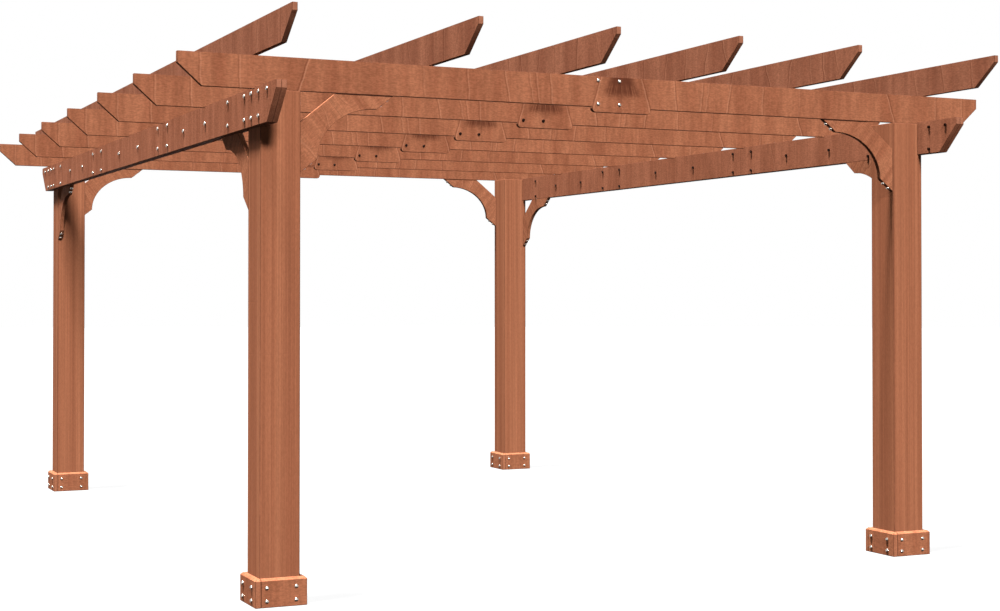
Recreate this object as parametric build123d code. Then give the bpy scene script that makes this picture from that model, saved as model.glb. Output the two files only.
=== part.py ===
"""Wooden pergola: four posts on skirts, two double beams, spliced rafters, purlins and knee braces.

Millimetres, +Z up. The origin is on the ground at the centre of the four posts. X runs along the front from
left to right, and Y runs from the front to the back.
"""
import os

from build123d import *

# Layout of the posts
post_spacing_across = 3405.0
post_spacing_deep = 4765.0
post_height = 2250.0
post_width = 183.0

# All boards of the roof are sawn to one thickness
board_thickness = 24.0

# Skirt boards around the foot of each post
skirt_height = 125.0
skirt_thickness = 26.0

# Double beams from front to back on the outer sides of the posts, with tips that reach past the posts
beam_overhang = 303.0
beam_height = 168.0
beam_end_height = 36.0
beam_end_run = 131.0
beam_joint_offset = 790.0

# Rafters across, each of two halves butted at the middle, seated over the beams and reaching past them
rafter_count = 7
rafter_overhang = 343.0
rafter_height = 146.0
rafter_end_height = 50.0
rafter_end_run = 108.0
rafter_seat_depth = 7.0

# Lowered heel of each rafter half at the middle joint, with a rounded corner
heel_length = 160.0
heel_drop = 25.0
heel_round = 20.0

# Splice plate behind each rafter's middle joint
splice_length = 300.0

# Purlins from front to back on top of the rafters, reaching past the first and the last
purlin_overhang = 548.0
purlin_height = 146.0
purlin_end_height = 34.0
purlin_end_run = 145.0
purlin_inner_offset = 320.0
purlin_middle_offset = 989.0
purlin_outer_offset = 1816.0

# Knee braces, cut from wide boards with a hollowed lower edge; those under a rafter stand back from its face
brace_reach = 440.0
brace_drop = 358.0
brace_end_run = 80.0
brace_end_drop = 63.0
brace_hole_share = 0.38
brace_setback = 5.0

# Places worked out from the sizes above
post_face_across = (post_spacing_across + post_width) / 2
post_face_deep = (post_spacing_deep + post_width) / 2
post_inside_across = (post_spacing_across - post_width) / 2
post_inside_deep = (post_spacing_deep - post_width) / 2
beam_inside = post_face_across - board_thickness
beam_outside = post_face_across + board_thickness
beam_top = post_height + rafter_seat_depth
beam_bottom = beam_top - beam_height
beam_tip = post_face_deep + beam_overhang
rafter_top = post_height + rafter_height
heel_bottom = post_height - heel_drop
rafter_tip = beam_outside + rafter_overhang
rafter_pitch = (2 * post_face_deep - board_thickness) / (rafter_count - 1)
purlin_tip = post_face_deep + purlin_overhang

LEFT, RIGHT = -1, 1
FRONT, BACK = -1, 1
SIDES = {"left": LEFT, "right": RIGHT}
ENDS = {"front": FRONT, "back": BACK}


def board_across(outline, near):
    """Board whose outline is given in X and Z, with its front face at Y = near."""
    face = Plane.XZ.offset(-near) * make_face(outline)
    return extrude(face, -board_thickness)


def board_deep(outline, near):
    """Board whose outline is given in Y and Z, with its left face at X = near."""
    return extrude(Plane.YZ.offset(near) * make_face(outline), board_thickness)


def save(name, *solids):
    """Write one node, made of one piece or of like pieces that lie apart."""
    export_step(solids[0] if len(solids) == 1 else Compound(children=list(solids)), f"parts/{name}.step")


def make_post(side, end):
    """Square post with a housing at the top of its outer side for the inner beam board."""
    inner = side * post_inside_across
    outer = side * post_face_across
    housed = side * beam_inside
    outline = Polyline(
        (inner, 0),
        (outer, 0),
        (outer, beam_bottom),
        (housed, beam_bottom),
        (housed, post_height),
        (inner, post_height),
        close=True,
    )
    back = (end * post_spacing_deep + post_width) / 2
    return extrude(Plane.XZ.offset(-back) * make_face(outline), post_width)


def make_skirt(side, end):
    """Four boards around a post's foot, each butting against the next; front and back pair, then sides."""
    centre = Pos(side * post_spacing_across / 2, end * post_spacing_deep / 2, skirt_height / 2)
    board = Box(post_width + skirt_thickness, skirt_thickness, skirt_height)
    seated = Pos(skirt_thickness / 2, -(post_width + skirt_thickness) / 2, 0) * board
    quarters = [centre * Rot(0, 0, turn) * seated for turn in (0, 90, 180, 270)]
    return quarters[0::2], quarters[1::2]


def make_beam_board(near, end, joint):
    """Beam board from its tip, which is cut back below, to a square butt joint."""
    tip = end * beam_tip
    outline = Polyline(
        (joint, beam_top),
        (tip, beam_top),
        (tip, beam_top - beam_end_height),
        (tip - end * beam_end_run, beam_bottom),
        (joint, beam_bottom),
        close=True,
    )
    return board_deep(outline, near)


def make_rafter_half(side, near):
    """Half rafter from its shaped tip to its heel at the middle joint, notched underneath over the beam."""
    tip = side * rafter_tip
    shoulder = side * (rafter_tip - rafter_end_run)
    round_start = (side * heel_length, heel_bottom + heel_round)
    round_end = (side * (heel_length - heel_round), heel_bottom)
    edge = Polyline(
        round_end,
        (0, heel_bottom),
        (0, rafter_top),
        (tip, rafter_top),
        (tip, rafter_top - rafter_end_height),
        (shoulder, post_height),
        (side * beam_outside, post_height),
        (side * beam_outside, beam_top),
        (side * beam_inside, beam_top),
        (side * beam_inside, post_height),
        (side * heel_length, post_height),
        round_start,
    )
    return board_across(edge + TangentArc(round_start, round_end, tangent=(0, -1)), near)


def make_splice(near):
    """Plate across a rafter's middle joint, against the back of both halves and as tall as the rafter."""
    half = splice_length / 2
    outline = Polyline(
        (-half, post_height), (half, post_height), (half, rafter_top), (-half, rafter_top), close=True
    )
    return board_across(outline, near + board_thickness)


def make_purlin(middle):
    """Purlin with both ends cut back below."""
    top = rafter_top + purlin_height
    outline = Polyline(
        (-purlin_tip, top),
        (-purlin_tip, top - purlin_end_height),
        (-purlin_tip + purlin_end_run, rafter_top),
        (purlin_tip - purlin_end_run, rafter_top),
        (purlin_tip, top - purlin_end_height),
        (purlin_tip, top),
        close=True,
    )
    return board_deep(outline, middle - board_thickness / 2)


def brace_outline(corner, top, inward):
    """Brace outline, from the corner between a post's face and what the brace holds up.

    The two ends are cut on the brace's own slope, the lower edge between them is a quarter of an ellipse, and
    the straight upper edge leaves a triangular opening in the corner.
    """
    hole_run = brace_hole_share * brace_reach
    hole_drop = brace_hole_share * brace_drop
    hollow_run = brace_reach - 2 * brace_end_run
    hollow_drop = brace_drop - 2 * brace_end_drop

    def place(run, drop):
        return (corner + inward * run, top - drop)

    upper = Polyline(
        place(brace_end_run, brace_drop - brace_end_drop),
        place(0, brace_drop),
        place(0, hole_drop),
        place(hole_run, 0),
        place(brace_reach, 0),
        place(brace_reach - brace_end_run, brace_end_drop),
    )
    hollow = EllipticalCenterArc(
        place(brace_reach - brace_end_run, brace_drop - brace_end_drop),
        hollow_run,
        hollow_drop,
        start_angle=90 if inward > 0 else 0,
    )
    return upper + hollow


def make_brace_across(side, end):
    """Brace from a post's inner side up to the front or back rafter, a little back from its outer face."""
    outer = end * (post_face_deep - brace_setback)
    near = outer if end == FRONT else outer - board_thickness
    return board_across(brace_outline(side * post_inside_across, post_height, -side), near)


def make_brace_deep(side, end):
    """Brace from a post's inner front or back face up to the inner beam board, in line with it."""
    near = -post_face_across if side == LEFT else beam_inside
    return board_deep(brace_outline(end * post_inside_deep, beam_bottom, -end), near)


os.makedirs("parts", exist_ok=True)

for end_name, end in ENDS.items():
    for side_name, side in SIDES.items():
        place = f"{end_name}_{side_name}"
        skirt_ends, skirt_sides = make_skirt(side, end)
        save(f"post_{place}", make_post(side, end))
        save(f"skirt_{place}_ends", *skirt_ends)
        save(f"skirt_{place}_sides", *skirt_sides)
        save(f"knee_braces_{place}", make_brace_across(side, end), make_brace_deep(side, end))

for side_name, side in SIDES.items():
    outer_near = post_face_across if side == RIGHT else -beam_outside
    inner_near = beam_inside if side == RIGHT else -post_face_across
    save(f"beam_{side_name}_outer_long", make_beam_board(outer_near, FRONT, beam_joint_offset))
    save(f"beam_{side_name}_outer_short", make_beam_board(outer_near, BACK, beam_joint_offset))
    save(f"beam_{side_name}_inner_short", make_beam_board(inner_near, FRONT, -beam_joint_offset))
    save(f"beam_{side_name}_inner_long", make_beam_board(inner_near, BACK, -beam_joint_offset))

rafter_fronts = [-post_face_deep + row * rafter_pitch for row in range(rafter_count)]
for row, near in enumerate(rafter_fronts, start=1):
    for side_name, side in SIDES.items():
        save(f"rafter_{row}_{side_name}", make_rafter_half(side, near))
save("rafter_splices", *[make_splice(near) for near in rafter_fronts])

purlin_offsets = (purlin_inner_offset, purlin_middle_offset, purlin_outer_offset)
purlin_places = sorted([side * offset for side in (LEFT, RIGHT) for offset in purlin_offsets])
for row, middle in enumerate(purlin_places, start=1):
    save(f"purlin_{row}", make_purlin(middle))
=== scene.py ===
"""Dressed scene of a wooden pergola.

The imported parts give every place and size. Each board is a copy of its part with eased edges and its own run of
grain, the bolts are modelled once and set where boards are fastened, and a white studio surrounds it all.
Metres, +Z up, with X along the front from left to right and Y from the front to the back.
"""
import logging
import math
from dataclasses import dataclass, field
from enum import Enum
from typing import Any, Callable, ClassVar, Iterable, Iterator

import bmesh
import bpy
import numpy as np
from mathutils import Matrix, Vector


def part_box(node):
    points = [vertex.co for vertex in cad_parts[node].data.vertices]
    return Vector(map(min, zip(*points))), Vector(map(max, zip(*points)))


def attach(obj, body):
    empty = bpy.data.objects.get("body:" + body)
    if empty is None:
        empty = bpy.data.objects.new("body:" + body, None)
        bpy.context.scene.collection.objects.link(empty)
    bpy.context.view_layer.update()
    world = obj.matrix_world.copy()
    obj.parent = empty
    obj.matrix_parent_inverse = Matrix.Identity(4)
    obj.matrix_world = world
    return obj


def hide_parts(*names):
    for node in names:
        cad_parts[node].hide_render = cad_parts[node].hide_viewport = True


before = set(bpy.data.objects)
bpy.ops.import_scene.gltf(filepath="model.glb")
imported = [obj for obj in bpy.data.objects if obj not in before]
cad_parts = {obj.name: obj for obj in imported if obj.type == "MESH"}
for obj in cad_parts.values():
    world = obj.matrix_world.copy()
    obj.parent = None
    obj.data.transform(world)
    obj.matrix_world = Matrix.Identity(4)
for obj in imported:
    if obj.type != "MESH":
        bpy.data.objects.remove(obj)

LOG = logging.getLogger("pergola")
BODY = "root"
PLACES = ("front_left", "front_right", "back_left", "back_right")
X_AXIS, Y_AXIS, Z_AXIS = Vector((1, 0, 0)), Vector((0, 1, 0)), Vector((0, 0, 1))
WHITE = (1.0, 1.0, 1.0, 1.0)

Colour = tuple[float, float, float, float]
Socket = bpy.types.NodeSocket
Feed = Any


class Slot(Enum):
    """Material slots of the record."""

    POST = "post_timber"
    TRIM = "trim_timber"
    BEAM = "beam_timber"
    ROOF = "roof_timber"
    BOLT = "bolt_metal"


class Fixing(Enum):
    """Ends of a bolt that show on a board."""

    HEAD = "head"
    BUTTON = "button"
    NUT = "nut"
    TIP = "tip"


class Side(Enum):
    """Sides of the pergola, seen from the front."""

    LEFT = "left"
    RIGHT = "right"

    @property
    def out(self) -> Vector:
        """Direction that points away from the pergola."""
        return X_AXIS if self is Side.RIGHT else -X_AXIS


class End(Enum):
    """Ends of the pergola, by the sign of their Y."""

    FRONT = -1
    BACK = 1


def stain(red: int, green: int, blue: int) -> Colour:
    """Turn a colour as seen on a screen into the linear colour that a shader takes.

    Args:
        red: Red, from 0 to 255.
        green: Green, from 0 to 255.
        blue: Blue, from 0 to 255.

    Returns:
        The linear colour, opaque.
    """
    shares = np.array([red, green, blue]) / 255
    linear = np.where(shares <= 0.04045, shares / 12.92, ((shares + 0.055) / 1.055) ** 2.4)
    return (*(float(channel) for channel in linear), 1.0)


class Graph:
    """A node tree to which nodes are added, set and linked in one call."""

    def __init__(self, tree: bpy.types.NodeTree) -> None:
        """Keep the tree, which starts empty."""
        self.tree = tree
        tree.nodes.clear()

    def feed(self, socket: Socket, value: Feed) -> None:
        """Link an output to a socket, or set the socket's own value.

        Args:
            socket: Input socket.
            value: Output socket, number, vector or colour.
        """
        if isinstance(value, bpy.types.NodeSocket):
            self.tree.links.new(value, socket)
        else:
            socket.default_value = value

    def add(self, kind: str, settings: dict[str, Any] | None = None, **inputs: Feed) -> bpy.types.Node:
        """Add a node and fill its inputs.

        Args:
            kind: Node type without its prefix, such as TexNoise.
            settings: Properties of the node.
            **inputs: What feeds each input, by its name with underscores for spaces.

        Returns:
            The new node.
        """
        node = self.tree.nodes.new(f"ShaderNode{kind}")
        for name, value in (settings or {}).items():
            setattr(node, name, value)
        for name, value in inputs.items():
            self.feed(node.inputs[name.replace("_", " ")], value)
        return node

    def fill(self, node: bpy.types.Node, values: Iterable[Feed]) -> Socket:
        """Feed a node's inputs in their order.

        Args:
            node: Any node.
            values: What feeds its first inputs.

        Returns:
            The node's first output.
        """
        for socket, value in zip(node.inputs, values):
            self.feed(socket, value)
        return node.outputs[0]

    def attribute(self, name: str, output: str = "Fac") -> Socket:
        """Read one of the mesh's own attributes."""
        return self.add("Attribute", {"attribute_name": name}).outputs[output]

    def split(self, vector: Socket) -> bpy.types.NodeOutputs:
        """Give the numbers of a vector as outputs named X, Y and Z."""
        return self.add("SeparateXYZ", Vector=vector).outputs

    def joined(self, x: Feed = 0.0, y: Feed = 0.0, z: Feed = 0.0) -> Socket:
        """Make a vector of three numbers."""
        return self.add("CombineXYZ", X=x, Y=y, Z=z).outputs[0]

    def math_of(self, operation: str, *values: Feed) -> Socket:
        """Give the result of one of Blender's operations on one, two or three numbers."""
        return self.fill(self.add("Math", {"operation": operation}), values)

    def times(self, first: Feed, *others: Feed) -> Socket:
        """Multiply numbers.

        Args:
            first: The first number.
            *others: The other numbers.

        Returns:
            Their product.
        """
        for other in others:
            first = self.math_of("MULTIPLY", first, other)
        return first

    def vector_of(self, operation: str, *values: Feed) -> Socket:
        """Give the vector that results from one of Blender's operations on vectors."""
        return self.fill(self.add("VectorMath", {"operation": operation}), values)

    def ranged(self, value: Feed, start: Feed, end: Feed, low: Feed = 0.0, high: Feed = 1.0) -> Socket:
        """Turn a value between two limits smoothly into one between two others.

        Args:
            value: What is turned.
            start: Value that gives low.
            end: Value that gives high.
            low: Result at start and beyond.
            high: Result at end and beyond.

        Returns:
            The result.
        """
        node = self.add("MapRange", {"interpolation_type": "SMOOTHSTEP"})
        return self.fill(node, (value, start, end, low, high))

    def either(self, share: Feed, first: Feed, second: Feed) -> Socket:
        """Mix two numbers.

        Args:
            share: How much of the second there is.
            first: Result where the share is 0.
            second: Result where it is 1.

        Returns:
            The mixed number.
        """
        node = self.add("Mix")
        for place, value in zip((0, 2, 3), (share, first, second)):
            self.feed(node.inputs[place], value)
        return node.outputs[0]

    def blend(self, mode: str, share: Feed, below: Feed, above: Feed) -> Socket:
        """Lay one colour over another.

        Args:
            mode: Blender's name of the way they mix.
            share: How much of the upper colour shows.
            below: Lower colour.
            above: Upper colour.

        Returns:
            The mixed colour.
        """
        node = self.add("Mix", {"data_type": "RGBA", "blend_type": mode})
        by_name = {socket.identifier: socket for socket in node.inputs}
        self.feed(by_name["Factor_Float"], share)
        self.feed(by_name["A_Color"], below)
        self.feed(by_name["B_Color"], above)
        return next(socket for socket in node.outputs if socket.identifier == "Result_Color")

    def noise(self, vector: Socket, seed: Feed, scale: float, detail: float, roughness: float) -> Socket:
        """Add a noise about a half that differs with its seed, read where the vector says."""
        node = self.add("TexNoise", {"noise_dimensions": "4D"}, Vector=vector, W=seed, Scale=scale,
                        Detail=detail, Roughness=roughness)
        return node.outputs[0]


class Effect:
    """A shader node group that is built once and placed in each material with its own values.

    Attributes:
        name: Name of the group.
        takes: Kinds of its inputs by their names.
        gives: Names of its outputs, which are numbers.
    """

    name: ClassVar[str]
    takes: ClassVar[dict[str, str]]
    gives: ClassVar[tuple[str, ...]]

    @classmethod
    def place(cls, graph: Graph, **inputs: Feed) -> dict[str, Socket]:
        """Put the group in a material.

        Args:
            graph: The material's graph.
            **inputs: What feeds each of the group's inputs.

        Returns:
            The group's outputs by name.
        """
        node = graph.add("Group", {"node_tree": bpy.data.node_groups.get(cls.name) or cls.make()}, **inputs)
        return {socket.name: socket for socket in node.outputs}

    @classmethod
    def make(cls) -> bpy.types.NodeTree:
        """Build the group.

        Returns:
            The group's node tree.
        """
        tree = bpy.data.node_groups.new(cls.name, "ShaderNodeTree")
        for name, kind in cls.takes.items():
            tree.interface.new_socket(name=name, in_out="INPUT", socket_type=f"NodeSocket{kind}")
        for name in cls.gives:
            tree.interface.new_socket(name=name, in_out="OUTPUT", socket_type="NodeSocketFloat")
        graph = Graph(tree)
        entry = tree.nodes.new("NodeGroupInput")
        result = cls.compute(graph, {socket.name: socket for socket in entry.outputs if socket.name})
        leave = tree.nodes.new("NodeGroupOutput")
        for name, socket in result.items():
            tree.links.new(socket, leave.inputs[name])
        return tree

    @classmethod
    def compute(cls, graph: Graph, inputs: dict[str, Socket]) -> dict[str, Socket]:
        """Wire the inside of the group.

        Args:
            graph: Graph of the group.
            inputs: The group's inputs by name.

        Returns:
            What leaves the group, by name.
        """
        raise NotImplementedError


class BoardTone(Effect):
    """Broad streaks, fine fibres and mottling of sawn and stained timber.

    Attributes:
        spread: Values of the noises that give 0 and 1.
        fibre_scale: How much finer fibres are than streaks.
        specks_per_metre: Specks of the mottling along, across and through a board.
    """

    name = "board_tone"
    takes = {"Grain": "Vector", "Seed": "Float", "Stretch": "Vector"}
    gives = ("Streak", "Fibre", "Mottle")
    spread = (0.28, 0.72)
    fibre_scale = 5.0
    specks_per_metre = (70.0, 190.0, 190.0)

    @classmethod
    def compute(cls, graph: Graph, inputs: dict[str, Socket]) -> dict[str, Socket]:
        """Wire the three noises; see Effect.compute."""
        seed = inputs["Seed"]
        stretched = graph.vector_of("MULTIPLY", inputs["Grain"], inputs["Stretch"])
        specks = graph.vector_of("MULTIPLY", inputs["Grain"], cls.specks_per_metre)
        noises = {
            "Streak": graph.noise(stretched, seed, 1.0, 3.0, 0.5),
            "Fibre": graph.noise(stretched, seed, cls.fibre_scale, 3.0, 0.6),
            "Mottle": graph.noise(specks, seed, 1.0, 2.0, 0.6),
        }
        return {name: graph.ranged(noise, *cls.spread) for name, noise in noises.items()}


class FigureLines(Effect):
    """Pairs of a dark and a light line that cross a board at uneven distances and leans.

    Attributes:
        lean: Largest lean of a line, as distance along the board for each unit across it.
        lean_spread: Values of a noise that give the largest lean to either side.
        strength_spread: Values of a noise that give a line no strength and its full strength.
        waver: How far lines waver.
        waves_per_metre: Waves along, across and through a board.
        beside: Distance of the light line from the dark one, in widths of a line.
    """

    name = "figure_lines"
    takes = {"Grain": "Vector", "Seed": "Float", "Spacing": "Float", "Width": "Float"}
    gives = ("Dark", "Light")
    lean = 0.45
    lean_spread = (0.3, 0.7)
    strength_spread = (0.34, 0.6)
    waver = 0.03
    waves_per_metre = (3.0, 14.0, 3.0)
    beside = 1.7

    @classmethod
    def compute(cls, graph: Graph, inputs: dict[str, Socket]) -> dict[str, Socket]:
        """Wire the borders of cells along the board, twice, side by side; see Effect.compute."""
        seed, spacing = inputs["Seed"], inputs["Spacing"]
        parts = graph.split(inputs["Grain"])
        course = graph.joined(graph.math_of("DIVIDE", parts["X"], spacing))
        tilt = graph.ranged(graph.noise(course, seed, 0.6, 1.0, 0.5), *cls.lean_spread, -cls.lean, cls.lean)
        ripple = graph.vector_of("MULTIPLY", inputs["Grain"], cls.waves_per_metre)
        wave = graph.noise(ripple, seed, 1.0, 2.0, 0.5)
        bent = graph.math_of("MULTIPLY_ADD", wave, cls.waver, parts["X"])
        bent = graph.math_of("MULTIPLY_ADD", tilt, parts["Y"], bent)
        cell = graph.math_of("ADD", graph.math_of("DIVIDE", bent, spacing), seed)
        strength = graph.ranged(graph.noise(course, seed, 1.1, 1.0, 0.5), *cls.strength_spread)
        step = graph.math_of("DIVIDE", inputs["Width"], spacing)
        masks = {}
        for name, steps in (("Dark", 0.0), ("Light", cls.beside)):
            spot = graph.math_of("MULTIPLY_ADD", step, steps, cell)
            borders = {"voronoi_dimensions": "1D", "feature": "DISTANCE_TO_EDGE"}
            edges = graph.add("TexVoronoi", borders, W=spot, Scale=1.0)
            line = graph.ranged(edges.outputs["Distance"], 0.0, step, 1.0, 0.0)
            masks[name] = graph.times(line, strength)
        return masks


class LeaningLine(Effect):
    """One pair of lines across a rafter: dark, with a light line beside it towards the middle joint.

    Attributes:
        beside: Distance of the light line from the dark one, in widths of a line.
    """

    name = "leaning_line"
    takes = {"Distance": "Float", "Depth": "Float", "Top": "Float", "Lean": "Float", "Width": "Float"}
    gives = ("Dark", "Light")
    beside = 1.6

    @classmethod
    def compute(cls, graph: Graph, inputs: dict[str, Socket]) -> dict[str, Socket]:
        """Wire both masks; see Effect.compute."""
        course = graph.math_of("MULTIPLY_ADD", inputs["Lean"], inputs["Depth"], inputs["Top"])
        away = graph.math_of("SUBTRACT", inputs["Distance"], course)
        masks = {}
        for name, steps in (("Dark", 0.0), ("Light", cls.beside)):
            moved = graph.math_of("ABSOLUTE", graph.math_of("MULTIPLY_ADD", inputs["Width"], steps, away))
            masks[name] = graph.ranged(moved, 0.0, inputs["Width"], 1.0, 0.0)
        return masks


class EdgeStain(Effect):
    """Darker stain that gathers along eased edges, broken here and there.

    Attributes:
        breaks_per_metre: Breaks in each metre.
        faintest: Strength that is left in a break.
    """

    name = "edge_stain"
    takes = {"Eased": "Float", "Grain": "Vector", "Seed": "Float"}
    gives = ("Edge",)
    breaks_per_metre = 14.0
    faintest = 0.45

    @classmethod
    def compute(cls, graph: Graph, inputs: dict[str, Socket]) -> dict[str, Socket]:
        """Wire the mask; see Effect.compute."""
        patches = graph.noise(inputs["Grain"], inputs["Seed"], cls.breaks_per_metre, 3.0, 0.6)
        kept = graph.ranged(patches, 0.3, 0.5, cls.faintest, 1.0)
        return {"Edge": graph.times(inputs["Eased"], kept)}


class JointFlame(Effect):
    """Dark flame at the middle joint of a rafter, which fans down from the upper edge with paler rays in it.

    Attributes:
        half_top: Half width of the flame at the upper edge.
        half_foot: Half width of the flame at its lower end.
        reach: Depth of the flame below the upper edge.
        root: Height above the upper edge of the point from which the rays fan out.
        share: Strength of the flame.
        soft_side: Distances inside the border between which the flame fades in.
        rays: Scales of the rays, for each radian of the fan and for each metre down.
        ray_share: How much paler the rays are.
        core_width: Half width of the dark core along the joint.
        core_share: Strength of the core.
        halo: Distances from the joint between which a faint halo fades out.
        halo_share: Strength of the halo.
    """

    name = "joint_flame"
    takes = {"Distance": "Float", "Depth": "Float"}
    gives = ("Flame",)
    half_top = 0.060
    half_foot = 0.092
    reach = 0.088
    root = 0.16
    share = 0.9
    soft_side = (-0.04, 0.03)
    rays = (60.0, 5.0)
    ray_share = 0.4
    core_width = 0.05
    core_share = 0.6
    halo = (0.06, 0.2)
    halo_share = 0.2

    @classmethod
    def compute(cls, graph: Graph, inputs: dict[str, Socket]) -> dict[str, Socket]:
        """Wire the fan with its rays, the core along the joint and the halo; see Effect.compute."""
        distance, depth = inputs["Distance"], inputs["Depth"]
        border = graph.ranged(depth, 0.0, cls.reach, cls.half_top, cls.half_foot)
        side = graph.ranged(graph.math_of("SUBTRACT", border, distance), *cls.soft_side)
        angle = graph.math_of("ARCTAN2", distance, graph.math_of("ADD", depth, cls.root))
        fan = graph.joined(graph.times(angle, cls.rays[0]), graph.times(depth, cls.rays[1]))
        rays = graph.ranged(graph.noise(fan, 4.0, 0.55, 2.0, 0.5), 0.42, 0.6)
        streaks = graph.ranged(depth, 0.25 * cls.reach, 0.6 * cls.reach)
        dark = graph.math_of("SUBTRACT", cls.share, graph.times(rays, streaks, cls.ray_share))
        flame = graph.times(side, cls.above(graph, depth, 0.75, 1.25), dark)
        core = graph.ranged(distance, 0.0, cls.core_width, cls.core_share, 0.0)
        halo = graph.ranged(distance, *cls.halo, cls.halo_share, 0.0)
        for mask, ends in ((core, (0.8, 1.5)), (halo, (0.9, 1.2))):
            flame = graph.math_of("MAXIMUM", flame, graph.times(mask, cls.above(graph, depth, *ends)))
        return {"Flame": flame}

    @classmethod
    def above(cls, graph: Graph, depth: Socket, start: float, end: float) -> Socket:
        """Mask what lies above a soft limit, given as shares of the flame's reach."""
        return graph.ranged(depth, start * cls.reach, end * cls.reach, 1.0, 0.0)


class Spangle(Effect):
    """Faint spangle of metal.

    Attributes:
        per_metre: Spangles in each metre.
    """

    name = "spangle"
    takes = {"Place": "Vector"}
    gives = ("Spangle",)
    per_metre = 320.0

    @classmethod
    def compute(cls, graph: Graph, inputs: dict[str, Socket]) -> dict[str, Socket]:
        """Wire the noise; see Effect.compute."""
        noise = graph.noise(inputs["Place"], 0.0, cls.per_metre, 2.0, 0.5)
        return {"Spangle": graph.ranged(noise, 0.35, 0.65)}


class Finish:
    """A finish, which becomes a material at its first use."""

    name: str

    def material(self) -> bpy.types.Material:
        """Give the finish as a material, built at its first use."""
        return bpy.data.materials.get(self.name) or self.build()

    def build(self) -> bpy.types.Material:
        """Make the material.

        Returns:
            The new material.
        """
        material = bpy.data.materials.new(self.name)
        material.use_nodes = True
        graph = Graph(material.node_tree)
        graph.add("OutputMaterial", Surface=self.wire(graph))
        return material

    def wire(self, graph: Graph) -> Socket:
        """Wire the finish.

        Args:
            graph: The material's graph.

        Returns:
            Output of the shader.
        """
        raise NotImplementedError


@dataclass(frozen=True)
class TimberFinish(Finish):
    """Stained timber with streaks, cross figure and darker edges.

    Attributes:
        name: Name of the material.
        dark: Colour in the darkest streaks.
        light: Colour in the lightest streaks.
        edge: Colour of the stain that gathers at edges.
        line_dark: Colour of the dark figure lines.
        line_light: Colour of the light figure lines.
        end_grain: Colour of sawn ends.
        stretch: Streaks in each metre along, across and through a board.
        fibre_depth: Strength of the fibres.
        mottle_depth: Strength of the mottling.
        line_spacing: Usual distance between figure lines.
        line_width: Width of a figure line.
        line_share: Strength of the figure lines.
        light_share: Strength of the light lines beside that of the dark ones.
        end_share: How far sawn ends take their own colour.
        edge_share: Strength of the dark edges.
        roughness: Roughness between the fibres and on them.
        relief: Strength of the relief of fibres, mottling and figure lines.
        gloss: Strength of the reflections.
    """

    name: str
    dark: Colour = stain(166, 101, 72)
    light: Colour = stain(188, 120, 87)
    edge: Colour = stain(70, 38, 28)
    line_dark: Colour = stain(120, 66, 46)
    line_light: Colour = stain(226, 160, 126)
    end_grain: Colour = stain(205, 138, 108)
    stretch: tuple[float, float, float] = (11.0, 1.6, 11.0)
    fibre_depth: float = 0.08
    mottle_depth: float = 0.14
    line_spacing: float = 0.3
    line_width: float = 0.005
    line_share: float = 0.5
    light_share: float = 0.6
    end_share: float = 0.45
    edge_share: float = 0.7
    roughness: tuple[float, float] = (0.74, 0.6)
    relief: float = 0.12
    gloss: float = 0.02

    def wire(self, graph: Graph) -> Socket:
        """Wire the timber; see Finish.wire."""
        grain = graph.attribute(Board.GRAIN, "Vector")
        seed, eased, end = (graph.attribute(name) for name in (Board.SEED, Board.EASED, Board.END))
        tone = BoardTone.place(graph, Grain=grain, Seed=seed, Stretch=self.stretch)
        lines = self.figure(graph, grain, seed)
        edge = EdgeStain.place(graph, Eased=eased, Grain=grain, Seed=seed)["Edge"]
        edge = self.edged(graph, grain, edge)
        colour = self.marked(graph, grain, self.stained(graph, tone, lines))
        colour = graph.blend("MIX", graph.times(end, self.end_share), colour, self.end_grain)
        colour = graph.blend("MIX", graph.times(edge, self.edge_share), colour, self.edge)
        rough = graph.ranged(tone["Fibre"], 0.0, 1.0, *self.roughness)
        height = graph.math_of("MULTIPLY_ADD", tone["Mottle"], 0.5, tone["Fibre"])
        height = graph.math_of("SUBTRACT", height, lines["Dark"])
        bump = graph.add("Bump", Strength=self.relief, Distance=0.001, Height=height)
        shader = graph.add("BsdfPrincipled", Base_Color=colour, Roughness=rough, Normal=bump.outputs[0],
                           Specular_IOR_Level=self.gloss)
        return shader.outputs[0]

    def figure(self, graph: Graph, grain: Socket, seed: Socket) -> dict[str, Socket]:
        """Place the figure lines, and give the masks of the dark and the light ones by name."""
        return FigureLines.place(graph, Grain=grain, Seed=seed, Spacing=self.line_spacing,
                                 Width=self.line_width)

    def stained(self, graph: Graph, tone: dict[str, Socket], lines: dict[str, Socket]) -> Socket:
        """Mix the colour of the stained board.

        Args:
            graph: The material's graph.
            tone: Masks of BoardTone.
            lines: Masks of the figure lines.

        Returns:
            The colour.
        """
        colour = graph.blend("MIX", tone["Streak"], self.dark, self.light)
        fibre = graph.ranged(tone["Fibre"], 0.0, 1.0, 1.0 - self.fibre_depth, 1.0 + self.fibre_depth)
        mottle = graph.ranged(tone["Mottle"], 0.0, 1.0, 1.0 - self.mottle_depth, 1.0 + self.mottle_depth)
        shade = graph.times(fibre, mottle)
        colour = graph.blend("MULTIPLY", 1.0, colour, graph.joined(shade, shade, shade))
        light = graph.times(lines["Light"], self.line_share * self.light_share)
        dark = graph.times(lines["Dark"], self.line_share)
        colour = graph.blend("MIX", light, colour, self.line_light)
        return graph.blend("MIX", dark, colour, self.line_dark)

    def marked(self, graph: Graph, grain: Socket, colour: Socket) -> Socket:
        """Leave the colour as it is; finishes with a mark of their own lay it over the colour here."""
        return colour

    def edged(self, graph: Graph, grain: Socket, edge: Socket) -> Socket:
        """Leave the mask of the edges as it is; finishes with edges of their own change it here."""
        return edge


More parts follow.
